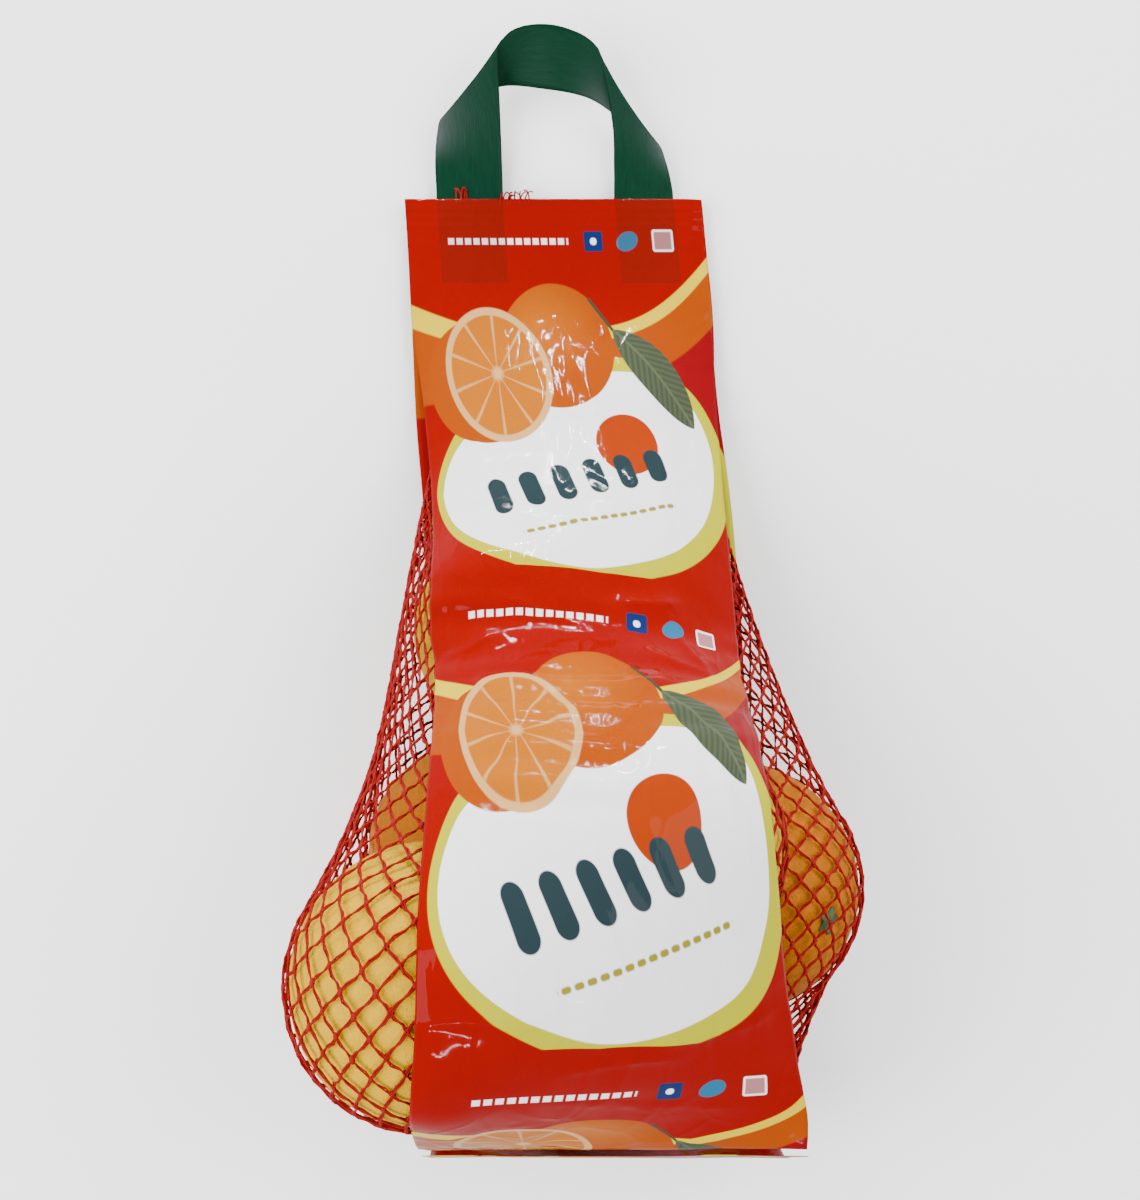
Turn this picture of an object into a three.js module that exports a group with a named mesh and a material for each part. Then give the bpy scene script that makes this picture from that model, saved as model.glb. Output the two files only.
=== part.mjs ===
// Net bag of oranges, lying on its back with the printed front film up.
// Millimetres. X across the bag, Y along it from the hem (-) to the handle (+), Z up from the table.
// Four closed solids in one body:
//   filled_net  the netting with the fruit in it, as one wrapped solid
//   front_film  the printed strip over the front, welded at the seam and at the hem
//   back_film   the strip under the back, which lies on the table
//   handle      a flat tape, its two ends welded in the seam

import * as THREE from 'three';

// ---- driving dimensions ----
const FILM_WIDTH = 106;
const FILM_THICKNESS = 0.8;
const NET_THICKNESS = 1.2; // yarn and knots, over the fruit
const GAP = 0.4; // between layers that touch
const EDGE_MARGIN = 9; // the netting also stays clear of a film this far beyond its edge
const TAPE_THICKNESS = 0.8;

const SEAM_Y = 238; // upper edge of the films
const NET_TOP_Y = 230; // where the netting ends in the seam
const HEM_Y = -73; // lower edge of the front film
const HEM_Z = 75;
const BACK_OVERHANG = 0.8; // of the back film beyond the front film at the seam
const BACK_HEM_Y = HEM_Y - 1.6; // lower edge of the back film, just outside the front film's
const BACK_HEM_Z = HEM_Z - 3;
const FOOT_MIDDLE_X = 10; // middle of the back film where it starts to turn up
const BACK_HEM_MIDDLE_X = 12.5;
const NET_FOOT_Y = -70.5; // where the netting ends in the hem
const NET_SEAM_MIDDLE_X = -5.4;
const NET_SEAM_Z = 2.1;
const NET_SEAM_WIDTH = 96;
const NET_HEM_MIDDLE_X = 11.6;
const NET_HEM_Z = HEM_Z - 1.6;
const NET_HEM_WIDTH = 94;
const NET_FLAT_Y = 203; // from here to the seam the netting lies flat under the tape
const NET_SLIT = 1.8; // both layers of netting, pressed flat

const LEG_Z = 3.8; // middle of the tape between netting and front film
const SEAM_FILM_Z = LEG_Z + TAPE_THICKNESS / 2 + GAP; // underside of the front film in the seam
const FOOT_RADIUS = 35.2; // the back film turns up round the fruit at the foot
const FOOT_AXIS_Y = -46;

// ---- mesh density ----
const NET_ROWS = 44;
const NET_COLUMNS = 40;
const FILM_ROWS = 56;
const FILM_COLUMNS = 10;
const TAPE_STEPS = 60;
const TAPE_COLUMNS = 3;
const FOOT_TURN_STEPS = 9;
const FOOT_RISE_STEPS = 4;

// ---- how the films drape and the netting shrinks ----
const DRAPE_STEPS = 40;
const DRAPE_SHARE = 0.6; // of the way to its neighbours' mean that a point moves in one step
const RELAX_STEPS = 400;
const RELAX_SHARE = 0.8;
const NET_PULL = 0.86; // share of the netting's tension that runs along the bag
const START_REACH_X = 52; // how far the slack netting stands out before it shrinks
const START_REACH_Z = 80;
const START_MIDDLE_Z = 64;

// ---- colours ----
const COLOURS = {
  netting: 0xd8401e,
  film: 0xe0150f,
  tape: 0x05553a,
};

// The fruit: centre x, y, z and radius.
const FRUIT = [
  [-37.2, -26.8, 97.0, 36.8],
  [-28.0, 8.5, 35.8, 34.0],
  [-16.0, 77.0, 35.3, 33.5],
  [50.0, -2.0, 39.3, 37.5],
  [24.0, 8.0, 96.0, 33.0],
  [1.0, -47.0, 34.5, 30.0],
];

// Front film, from hem to seam: middle x, y, z of the underside; curl, the half angle in radians
// of its arc across, edges down; and roll in degrees, right side down.
const FRONT_STATIONS = [
  [11.6, HEM_Y, HEM_Z, 0, 0],
  [12.8, -63, 89, 0.25, 5],
  [14.0, -52, 105, 0.45, 12],
  [15.0, -40, 118, 0.55, 17],
  [15.5, -26, 127, 0.65, 20],
  [14.5, -8, 131, 0.8, 18],
  [12.8, 14, 128, 0.95, 14],
  [11.2, 31, 119, 1.0, 10],
  [9.5, 46, 104, 1.0, 7],
  [7.5, 59, 87, 0.97, 4],
  [5.4, 73, 70, 0.9, 2],
  [4.4, 90, 60, 0.88, 0],
  [3.4, 112, 48, 0.82, 0],
  [1.5, 140, 32, 0.68, 0],
  [-1.0, 170, 19, 0.5, 0],
  [-2.6, 192, SEAM_FILM_Z + 3, 0.12, 0],
  [-3.6, 206, SEAM_FILM_Z, 0, 0],
  [-6.0, SEAM_Y, SEAM_FILM_Z, 0, 0],
];

// Back film along the table, same values for its upper face; a negative curl lifts the edges.
const BACK_STATIONS = [
  [FOOT_MIDDLE_X, FOOT_AXIS_Y, FILM_THICKNESS, 0, 0],
  [8.0, 20, FILM_THICKNESS, 0, 0],
  [6.5, 50, FILM_THICKNESS, 0, 0],
  [5.0, 85, FILM_THICKNESS, -0.2, 0],
  [2.5, 125, FILM_THICKNESS, -0.25, 0],
  [-1.0, 160, FILM_THICKNESS, -0.05, 0],
  [-2.6, 185, FILM_THICKNESS, 0, 0],
  [-6.0, SEAM_Y + BACK_OVERHANG, FILM_THICKNESS, 0, 0],
];

// The tape as pairs of points, one on each edge: the outer edge rolls behind both legs and becomes
// the lower edge of the band, the inner edge becomes its upper edge.
const TAPE_OUTER = [
  [-47.5, 206, LEG_Z],
  [-47.6, 236, LEG_Z],
  [-48.3, 252, 5],
  [-47.6, 262, 7],
  [-45.5, 268, 8],
  [-37, 272, 5.5],
  [-25.5, 279.6, 8],
  [-8, 275.8, 13],
  [6, 272.6, 13],
  [16, 268.2, 9],
  [25, 263, 5.5],
  [31.5, 258, 7],
  [34.5, 251, 6],
  [36.4, 243, 4.5],
  [36.9, 236, LEG_Z],
  [36.9, 206, LEG_Z],
];
const TAPE_INNER = [
  [-23.9, 206, LEG_Z],
  [-23.9, 236, LEG_Z],
  [-24.4, 254, 6],
  [-25, 272, 13],
  [-25.4, 286, 20.5],
  [-22, 290.8, 24],
  [-15.5, 292.8, 26],
  [-6, 292.8, 26.5],
  [3, 290.4, 25.5],
  [8.6, 287, 24],
  [10.6, 284.5, 21.5],
  [12, 279, 18],
  [15.2, 264, 9],
  [15.7, 250, 5.5],
  [15.7, 236, LEG_Z],
  [15.7, 206, LEG_Z],
];

// ---- small helpers ----
const lerp = THREE.MathUtils.lerp;

// Smooth curve through rows of numbers, sampled evenly along its length.
function sampleStations(stations, count) {
  const path = new THREE.CatmullRomCurve3(
    stations.map(([x, y, z]) => new THREE.Vector3(x, y, z)),
    false,
    'centripetal',
  );
  const shape = new THREE.CatmullRomCurve3(
    stations.map(([, , , curl, roll]) => new THREE.Vector3(curl, THREE.MathUtils.degToRad(roll), 0)),
    false,
    'catmullrom',
    0.4,
  );
  path.arcLengthDivisions = 800;
  const samples = [];
  for (let i = 0; i <= count; i++) {
    const at = path.getUtoTmapping(i / count);
    samples.push({ centre: path.getPoint(at), curl: shape.getPoint(at).x, roll: shape.getPoint(at).y });
  }
  return samples;
}

// One row across a film: an arc of the film's width, turned by the roll.
function filmRow({ centre, curl, roll }) {
  const row = [];
  for (let j = 0; j <= FILM_COLUMNS; j++) {
    const across = FILM_WIDTH * (j / FILM_COLUMNS - 0.5);
    const angle = (2 * curl * across) / FILM_WIDTH;
    const radius = Math.abs(curl) < 1e-3 ? 0 : FILM_WIDTH / (2 * curl);
    const x = radius ? radius * Math.sin(angle) : across;
    const z = radius ? radius * (Math.cos(angle) - 1) : 0;
    row.push(new THREE.Vector3(
      centre.x + x * Math.cos(roll) + z * Math.sin(roll),
      centre.y,
      centre.z - x * Math.sin(roll) + z * Math.cos(roll),
    ));
  }
  return row;
}

// Lift a point of a film off the fruit and netting under it.
function clearFruit(point, clearance) {
  for (const [x, y, z, radius] of FRUIT) {
    const room = (radius + clearance) ** 2 - (point.y - y) ** 2 - (point.x - x) ** 2;
    if (room > 0) point.z = Math.max(point.z, z + Math.sqrt(room));
  }
}

// The front film as laid by its stations, then lifted off the fruit and smoothed.
function drapeFrontFilm() {
  const laid = sampleStations(FRONT_STATIONS, FILM_ROWS).map(filmRow);
  const grid = laid.map((row) => row.map((p) => p.clone()));
  const clearance = NET_THICKNESS + 4 * GAP;
  for (let step = 0; step < DRAPE_STEPS; step++) {
    grid.flat().forEach((p) => clearFruit(p, clearance));
    const offsets = grid.map((row, i) => row.map((p, j) => p.clone().sub(laid[i][j])));
    for (let i = 1; i < FILM_ROWS; i++) {
      for (let j = 0; j <= FILM_COLUMNS; j++) {
        const left = offsets[i][Math.max(j - 1, 0)];
        const right = offsets[i][Math.min(j + 1, FILM_COLUMNS)];
        const mean = left.clone().add(right).add(offsets[i - 1][j]).add(offsets[i + 1][j]).divideScalar(4);
        grid[i][j].copy(laid[i][j]).add(offsets[i][j].clone().lerp(mean, DRAPE_SHARE));
      }
    }
  }
  grid.flat().forEach((p) => clearFruit(p, clearance));
  return grid;
}

// The back film: flat on the table, then round the foot and up to the hem.
function layBackFilm() {
  const flatSteps = FILM_ROWS - FOOT_TURN_STEPS - FOOT_RISE_STEPS - 1;
  const flat = sampleStations(BACK_STATIONS, flatSteps).map(filmRow);
  flat.flat().forEach((p) => p.setZ(Math.max(p.z, FILM_THICKNESS)));
  const foot = [];
  const axisZ = FILM_THICKNESS + FOOT_RADIUS;
  const turn = [];
  for (let i = 1; i <= FOOT_TURN_STEPS; i++) {
    const angle = (i / FOOT_TURN_STEPS) * (Math.PI / 2);
    turn.push([FOOT_AXIS_Y - FOOT_RADIUS * Math.sin(angle), axisZ - FOOT_RADIUS * Math.cos(angle)]);
  }
  for (let i = 1; i <= FOOT_RISE_STEPS; i++) {
    const rise = i / FOOT_RISE_STEPS;
    turn.push([lerp(FOOT_AXIS_Y - FOOT_RADIUS, BACK_HEM_Y, rise), lerp(axisZ, BACK_HEM_Z, rise)]);
  }
  for (const [y, z] of turn) {
    const middle = lerp(FOOT_MIDDLE_X, BACK_HEM_MIDDLE_X, z / HEM_Z);
    foot.unshift(filmRow({ centre: new THREE.Vector3(middle, y, z), curl: 0, roll: 0 }));
  }
  return [...foot, ...flat];
}

// Height of one row of a film at x, carried on straight for a short way beyond its edges.
function rowHeight(row, x) {
  const last = row.length - 1;
  if (x < row[0].x - EDGE_MARGIN || x > row[last].x + EDGE_MARGIN) return undefined;
  let j = 0;
  while (j < last - 1 && x > row[j + 1].x) j++;
  return lerp(row[j].z, row[j + 1].z, (x - row[j].x) / (row[j + 1].x - row[j].x));
}

// Height of a film's grid at x, y, or undefined well beyond its edges.
function heightAt(grid, x, y) {
  for (let i = 0; i + 1 < grid.length; i++) {
    const y0 = grid[i][0].y;
    const y1 = grid[i + 1][0].y;
    if (y < y0 || y >= y1) continue;
    const near = rowHeight(grid[i], x);
    const far = rowHeight(grid[i + 1], x);
    if (near === undefined || far === undefined) return near ?? far;
    return lerp(near, far, (y - y0) / (y1 - y0));
  }
  return undefined;
}

// Closed solid from a grid of points and a thickness along the grid's normals.
function sheetGeometry(grid, thickness, outward) {
  const rows = grid.length;
  const columns = grid[0].length;
  const outer = grid.map((row, i) => row.map((p, j) => {
    const along = grid[Math.min(i + 1, rows - 1)][j].clone().sub(grid[Math.max(i - 1, 0)][j]);
    const across = row[Math.min(j + 1, columns - 1)].clone().sub(row[Math.max(j - 1, 0)]);
    const normal = across.cross(along).normalize().multiplyScalar(outward * thickness);
    return p.clone().add(normal);
  }));
  const top = outward > 0 ? outer : grid;
  const bottom = outward > 0 ? grid : outer;
  const positions = [...top.flat(), ...bottom.flat()].flatMap((p) => [p.x, p.y, p.z]);
  const indices = [];
  const topAt = (i, j) => i * columns + j;
  const bottomAt = (i, j) => rows * columns + i * columns + j;
  const quad = (a, b, c, d) => indices.push(a, b, c, a, c, d);
  for (let i = 0; i + 1 < rows; i++) {
    for (let j = 0; j + 1 < columns; j++) {
      quad(topAt(i, j), topAt(i, j + 1), topAt(i + 1, j + 1), topAt(i + 1, j));
      quad(bottomAt(i, j), bottomAt(i + 1, j), bottomAt(i + 1, j + 1), bottomAt(i, j + 1));
    }
    quad(topAt(i, 0), topAt(i + 1, 0), bottomAt(i + 1, 0), bottomAt(i, 0));
    const last = columns - 1;
    quad(topAt(i + 1, last), topAt(i, last), bottomAt(i, last), bottomAt(i + 1, last));
  }
  for (let j = 0; j + 1 < columns; j++) {
    const last = rows - 1;
    quad(topAt(0, j + 1), topAt(0, j), bottomAt(0, j), bottomAt(0, j + 1));
    quad(topAt(last, j), topAt(last, j + 1), bottomAt(last, j + 1), bottomAt(last, j));
  }
  return toGeometry(positions, indices);
}

function toGeometry(positions, indices) {
  const geometry = new THREE.BufferGeometry();
  geometry.setAttribute('position', new THREE.Float32BufferAttribute(positions, 3));
  geometry.setIndex(indices);
  geometry.computeVertexNormals();
  return geometry;
}

// Keep a point of the netting between the two films, above the table and inside the foot.
function keepBetweenFilms(point, front, back) {
  const floor = FILM_THICKNESS + GAP;
  const axisZ = FILM_THICKNESS + FOOT_RADIUS;
  if (point.y < FOOT_AXIS_Y) {
    const reach = FOOT_RADIUS - 2 * GAP;
    if (point.z < axisZ) {
      const dy = point.y - FOOT_AXIS_Y;
      const dz = point.z - axisZ;
      const distance = Math.hypot(dy, dz);
      if (distance > reach) {
        point.y = FOOT_AXIS_Y + (dy / distance) * reach;
        point.z = axisZ + (dz / distance) * reach;
      }
    } else {
      const rise = (point.z - axisZ) / (HEM_Z - axisZ);
      point.y = Math.max(point.y, lerp(FOOT_AXIS_Y - reach, NET_FOOT_Y, Math.min(rise, 1)));
    }
  }
  const lower = heightAt(back, point.x, point.y) ?? 0;
  point.z = Math.max(point.z, floor, point.y > FOOT_AXIS_Y ? lower + 2 * GAP : floor);
  const upper = heightAt(front, point.x, point.y);
  if (upper !== undefined) point.z = Math.min(point.z, upper - 4 * GAP);
  if (point.y > NET_FLAT_Y) point.z = Math.min(point.z, LEG_Z - TAPE_THICKNESS / 2 - GAP);
}

// Push a point of the netting out of the fruit.
function wrapFruit(point) {
  for (const [x, y, z, radius] of FRUIT) {
    const reach = radius + NET_THICKNESS;
    const away = point.clone().sub(new THREE.Vector3(x, y, z));
    const distance = away.length();
    if (distance < reach) point.addScaledVector(away, (reach - distance) / distance);
  }
}

// Half the thickness of the flattened netting in one column, thinner towards both sides.
function slitLift(column) {
  const height = Math.sin((column / NET_COLUMNS) * 2 * Math.PI);
  return (Math.sign(height) * Math.abs(height) ** 0.3 * NET_SLIT) / 2;
}

// The two layers of netting keep apart where they are pressed flat.
function keepLayersApart(ring) {
  for (let j = 1; j < NET_COLUMNS / 2; j++) {
    const upper = ring[j];
    const lower = ring[NET_COLUMNS - j];
    const short = 2 * slitLift(j) - (upper.z - lower.z);
    if (short <= 0) continue;
    upper.z += short / 2;
    lower.z -= short / 2;
  }
}

// A flat slit across the bag, run round once: one end of the netting.
function slitRing(middle, width, slope) {
  const ring = [];
  for (let j = 0; j < NET_COLUMNS; j++) {
    const angle = (j / NET_COLUMNS) * 2 * Math.PI;
    const lift = slitLift(j);
    ring.push(new THREE.Vector3(
      middle.x + (Math.cos(angle) * width) / 2,
      middle.y - lift * Math.sin(slope),
      middle.z + lift * Math.cos(slope),
    ));
  }
  return ring;
}

// The netting: a tube between two slits that shrinks on to the fruit like a stretched skin.
function wrapNet(front, back) {
  const footMiddle = new THREE.Vector3(NET_HEM_MIDDLE_X, NET_FOOT_Y, NET_HEM_Z);
  const seamMiddle = new THREE.Vector3(NET_SEAM_MIDDLE_X, NET_TOP_Y, NET_SEAM_Z);
  const foot = slitRing(footMiddle, NET_HEM_WIDTH, Math.PI / 4);
  const seam = slitRing(seamMiddle, NET_SEAM_WIDTH, 0);
  const rings = [foot];
  for (let i = 1; i < NET_ROWS; i++) {
    const v = i / NET_ROWS;
    const swell = Math.sin(Math.PI * Math.min(1, v * 1.05)) ** 0.5;
    const ring = [];
    for (let j = 0; j < NET_COLUMNS; j++) {
      const angle = (j / NET_COLUMNS) * 2 * Math.PI;
      const base = foot[j].clone().lerp(seam[j], v);
      base.x += Math.cos(angle) * START_REACH_X * swell;
      base.z = lerp(base.z, START_MIDDLE_Z, swell * 0.8) + Math.sin(angle) * START_REACH_Z * swell;
      ring.push(base);
    }
    rings.push(ring);
  }
  rings.push(seam);
  for (let step = 0; step < RELAX_STEPS; step++) {
    for (let i = 1; i < NET_ROWS; i++) {
      for (let j = 0; j < NET_COLUMNS; j++) {
        const along = rings[i - 1][j].clone().add(rings[i + 1][j]).divideScalar(2);
        const next = rings[i][(j + 1) % NET_COLUMNS];
        const around = rings[i][(j + NET_COLUMNS - 1) % NET_COLUMNS].clone().add(next).divideScalar(2);
        rings[i][j].lerp(around.lerp(along, NET_PULL), RELAX_SHARE);
        wrapFruit(rings[i][j]);
        keepBetweenFilms(rings[i][j], front, back);
      }
      keepLayersApart(rings[i]);
    }
  }
  return rings;
}

function tubeGeometry(rings) {
  const positions = rings.flat().flatMap((p) => [p.x, p.y, p.z]);
  const indices = [];
  const at = (i, j) => i * NET_COLUMNS + (j % NET_COLUMNS);
  for (let i = 0; i < NET_ROWS; i++) {
    for (let j = 0; j < NET_COLUMNS; j++) {
      indices.push(at(i, j), at(i + 1, j), at(i + 1, j + 1));
      indices.push(at(i, j), at(i + 1, j + 1), at(i, j + 1));
    }
  }
  // The slits close with a strip between their upper and lower halves.
  for (const [row, flip] of [[0, false], [NET_ROWS, true]]) {
    for (let j = 0; j < NET_COLUMNS / 2; j++) {
      const upper = [at(row, j), at(row, j + 1)];
      const lower = [at(row, NET_COLUMNS - j), at(row, NET_COLUMNS - j - 1)];
      const faces = [[upper[0], upper[1], lower[1]], [upper[0], lower[1], lower[0]]];
      for (const face of faces) {
        if (new Set(face).size === 3) indices.push(...(flip ? face.reverse() : face));
      }
    }
  }
  return toGeometry(positions, indices);
}

// The handle: a ruled ribbon between its two edges.
function tapeGrid() {
  const curve = (points) => new THREE.CatmullRomCurve3(
    points.map((p) => new THREE.Vector3(...p)),
    false,
    'catmullrom',
    0.5,
  );
  const outer = curve(TAPE_OUTER);
  const inner = curve(TAPE_INNER);
  const grid = [];
  for (let i = 0; i <= TAPE_STEPS; i++) {
    const a = outer.getPoint(i / TAPE_STEPS);
    const b = inner.getPoint(i / TAPE_STEPS);
    const row = [];
    for (let j = 0; j <= TAPE_COLUMNS; j++) row.push(a.clone().lerp(b, j / TAPE_COLUMNS));
    grid.push(row);
  }
  return grid;
}

// Both faces of the tape lie half a thickness from its middle.
function tapeGeometry() {
  return sheetGeometry(tapeGrid(), TAPE_THICKNESS, 1).translate(0, 0, -TAPE_THICKNESS / 2);
}

function part(name, geometry, colour, roughness) {
  const material = new THREE.MeshStandardMaterial({ color: colour, roughness, metalness: 0 });
  const mesh = new THREE.Mesh(geometry, material);
  mesh.name = name;
  return mesh;
}

function build() {
  const front = drapeFrontFilm();
  const back = layBackFilm();
  const group = new THREE.Group();
  group.add(part('filled_net', tubeGeometry(wrapNet(front, back)), COLOURS.netting, 0.7));
  group.add(part('front_film', sheetGeometry(front, FILM_THICKNESS, 1), COLOURS.film, 0.2));
  group.add(part('back_film', sheetGeometry(back, FILM_THICKNESS, -1), COLOURS.film, 0.2));
  group.add(part('handle', tapeGeometry(), COLOURS.tape, 0.35));

  // The origin is the middle of the underside of the whole.
  group.updateMatrixWorld(true);
  const box = new THREE.Box3().setFromObject(group);
  const middle = box.getCenter(new THREE.Vector3());
  group.children.forEach((mesh) => mesh.position.set(-middle.x, -middle.y, -box.min.z));
  return group;
}

export default build();
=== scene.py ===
"""Net bag of oranges on its back: fruit, knitted netting, printed films and a tape handle.

Shapes are worked out in millimetres in the bag's own construction frame, X across, Y along
towards the handle, Z up from the table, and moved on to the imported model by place().
"""
import math

import bpy
import numpy as np
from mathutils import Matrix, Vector, noise
from mathutils.bvhtree import BVHTree


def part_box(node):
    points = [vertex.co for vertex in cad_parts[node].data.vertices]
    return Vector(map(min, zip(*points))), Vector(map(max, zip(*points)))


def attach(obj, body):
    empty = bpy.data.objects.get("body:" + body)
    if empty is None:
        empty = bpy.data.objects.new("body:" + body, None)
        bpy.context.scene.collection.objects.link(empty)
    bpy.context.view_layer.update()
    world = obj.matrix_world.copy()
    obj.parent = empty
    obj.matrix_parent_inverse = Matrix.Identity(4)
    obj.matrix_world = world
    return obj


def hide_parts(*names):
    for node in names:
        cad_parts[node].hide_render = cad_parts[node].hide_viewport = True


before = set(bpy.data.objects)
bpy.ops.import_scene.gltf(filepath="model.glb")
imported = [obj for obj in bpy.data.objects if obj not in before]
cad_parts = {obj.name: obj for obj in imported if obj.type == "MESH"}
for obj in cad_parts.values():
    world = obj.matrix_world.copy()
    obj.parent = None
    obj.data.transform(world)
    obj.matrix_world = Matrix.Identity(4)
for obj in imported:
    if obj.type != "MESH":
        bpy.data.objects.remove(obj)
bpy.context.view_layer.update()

# ---------------------------------------------------------------- dimensions, mm
FILM_WIDTH = 106.0
SEAM_Y = 238.0
SEAM_MIDDLE_X = -6.0
HEM_Y = -73.0
HEM_Z = 75.0
FOOT_AXIS_Y = -46.0
FOOT_RADIUS = 35.2
CAD_FILM = 0.8
FOOT_AXIS_Z = CAD_FILM + FOOT_RADIUS
FILM_THICKNESS = 0.22
NET_CLEARANCE = 1.2
YARN_CLEARANCE = 0.85

# The fruit: centre x, y, z, radius, and the direction of its stem end.
FRUIT = [
    (-37.2, -26.8, 97.0, 36.8, (0.5, 0.4, -0.6)),
    (-28.0, 8.5, 35.8, 34.0, (-0.3, 0.8, -0.4)),
    (-16.0, 77.0, 35.3, 33.5, (0.4, 0.6, 0.3)),
    (50.0, -2.0, 39.3, 37.5, (0.67, -0.28, 0.69)),
    (24.0, 8.0, 96.0, 33.0, (-0.2, 0.1, 0.9)),
    (1.0, -47.0, 34.5, 30.0, (-0.6, -0.5, 0.2)),
]
CALYX_FRUIT = 3
# Fruit with a darker, redder peel: painted shade and a painted red reflection from the film.
RED_SHADE_FRUIT = (1, 3)

# The net: a tube between a slit at the foot and a slit at the seam.
NET_COLUMNS = 104
NET_ROWS = 74
NET_FOOT_Y = -70.5
NET_FOOT_MIDDLE = (11.6, NET_FOOT_Y, HEM_Z - 1.6)
NET_FOOT_WIDTH = 94.0
NET_SEAM_MIDDLE = (-5.4, 230.0, 2.1)
NET_SEAM_WIDTH = 96.0
# The share of each pull that comes from along the net, the rest being round it.
NET_PULL = 0.86
# Room for the yarn above the back film and under the front film.
NET_OVER_BACK = 0.9
NET_UNDER_FRONT = 1.6
# Past this y the net lies flat between the films.
NET_FLAT_Y = 203.0
NET_FLAT_TOP = 2.9
# Relaxing steps, with an even respacing after each stretch of them.
NET_STEPS = (1500, 25, 25, 25, 12, 12, 0)
NET_RESPACINGS = 5

YARN_RADIUS = 0.30
YARN_SPREAD = 0.32
YARN_TWIST = 1.2 * math.pi
STRAND_STEPS = 4
# How far a strand leaves its knot along the bag instead of straight to the next knot.
STRAND_LEAN = 0.55
KNOT_HALF_SIZES = (0.85, 0.55, 1.25)
# Tufts of cut yarn over the top edge: middle x and height.
TUFTS = [(-38.0, 4.5), (-23.5, 2.6), (-17.5, 4.0)]
TUFT_YARNS = 6
TUFT_SPREAD = 2.2
TAIL_RADIUS = 0.26

CAMERA_HEIGHT = 504.6
CAMERA_TILT = 10.5

PRINT_REPEAT = 165.5
PRINT_FIRST_ROW = 16.1
PRINT_STRETCH = 1.3
# Where one repeat ends and the next starts, above the row of small marks.
PRINT_LEAD = 14.0
# How far down the front film its middle is pulled askew, and over what length.
SHEAR_AT = 182.0
SHEAR_REACH = 22.0
# The print runs closer together where the front film dives round the foot.
FOOT_PRINT_FROM = 357.0
FOOT_PRINT_HASTE = 1.4

low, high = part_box("front_film")
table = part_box("back_film")[0].z
SHIFT = np.array([
    low.x * 1000 - (SEAM_MIDDLE_X - FILM_WIDTH / 2),
    high.y * 1000 - SEAM_Y,
    table * 1000,
])


def place(points):
    """Construction millimetres to the frame's metres."""
    return (np.asarray(points, float) + SHIFT) * 0.001


def new_object(name, verts, faces, material, smooth=True, attributes=None):
    """A mesh object from arrays; the points are already in the frame's metres."""
    mesh = bpy.data.meshes.new(name)
    mesh.from_pydata(np.asarray(verts).tolist(), [], np.asarray(faces).tolist())
    for label, values in (attributes or {}).items():
        layer = mesh.attributes.new(label, "FLOAT_VECTOR", "POINT")
        layer.data.foreach_set("vector", np.asarray(values, np.float32).ravel())
    mesh.polygons.foreach_set("use_smooth", [smooth] * len(mesh.polygons))
    mesh.materials.append(material)
    mesh.update()
    obj = bpy.data.objects.new(name, mesh)
    bpy.context.scene.collection.objects.link(obj)
    return obj


# ---------------------------------------------------------------- shader arithmetic
class Field:
    """A number that varies over a surface: a socket of a shader tree, with arithmetic."""

    def __init__(self, tree, socket):
        self.tree = tree
        self.socket = socket

    def math(self, operation, *others, clamp=False):
        node = self.tree.nodes.new("ShaderNodeMath")
        node.operation = operation
        node.use_clamp = clamp
        self.tree.links.new(self.socket, node.inputs[0])
        for slot, other in enumerate(others, start=1):
            if isinstance(other, Field):
                self.tree.links.new(other.socket, node.inputs[slot])
            else:
                node.inputs[slot].default_value = other
        return Field(self.tree, node.outputs[0])

    def __add__(self, other):
        return self.math("ADD", other)

    def __sub__(self, other):
        return self.math("SUBTRACT", other)

    def __mul__(self, other):
        return self.math("MULTIPLY", other)

    def __truediv__(self, other):
        return self.math("DIVIDE", other)

    def __neg__(self):
        return self * -1.0

    def __abs__(self):
        return self.math("ABSOLUTE")

    def both(self, other):
        return self.math("MINIMUM", other)

    def either(self, other):
        return self.math("MAXIMUM", other)

    def mask(self, softness=0.35):
        """1 where this distance is positive, 0 outside, with a soft edge."""
        return (self / softness).math("ADD", 0.5, clamp=True)


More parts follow.
